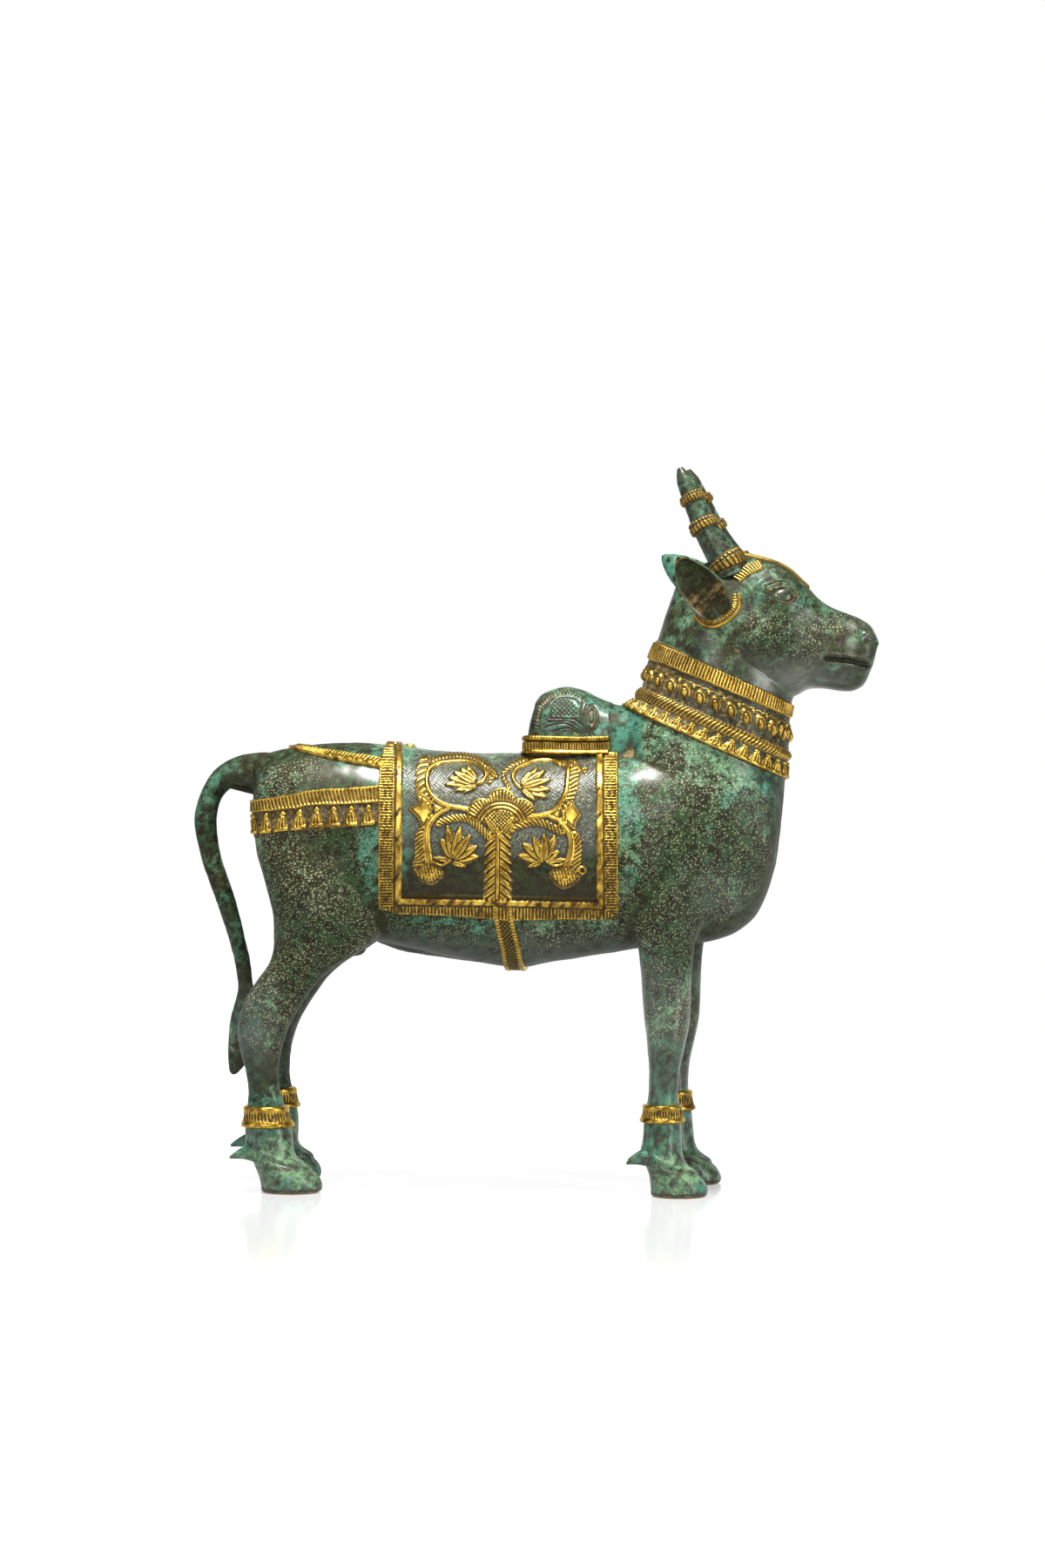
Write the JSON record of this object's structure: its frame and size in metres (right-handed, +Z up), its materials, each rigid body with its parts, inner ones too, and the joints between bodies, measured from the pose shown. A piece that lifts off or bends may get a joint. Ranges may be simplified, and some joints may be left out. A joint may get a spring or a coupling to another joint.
{
  "type": "nandi statue",
  "caption": "Standing humped bull cast in brass, with a dark green patina, ringed horns, collars, a saddle cloth with a lotus vine, a tasselled rump strap and leg bangles.",
  "frame": {"origin": "on the ground under the middle of the statue's outline, at the level of the hooves' undersides", "axes": "+X towards the muzzle, +Y to the bull's left, +Z up"},
  "size_m": [0.3767, 0.1104, 0.395],
  "materials": {
    "patinated_brass": "dark green patina, waxed, with gilded trappings"
  },
  "bodies": {
    "root": {"nandi_statue": "patinated_brass"}
  },
  "joints": []
}
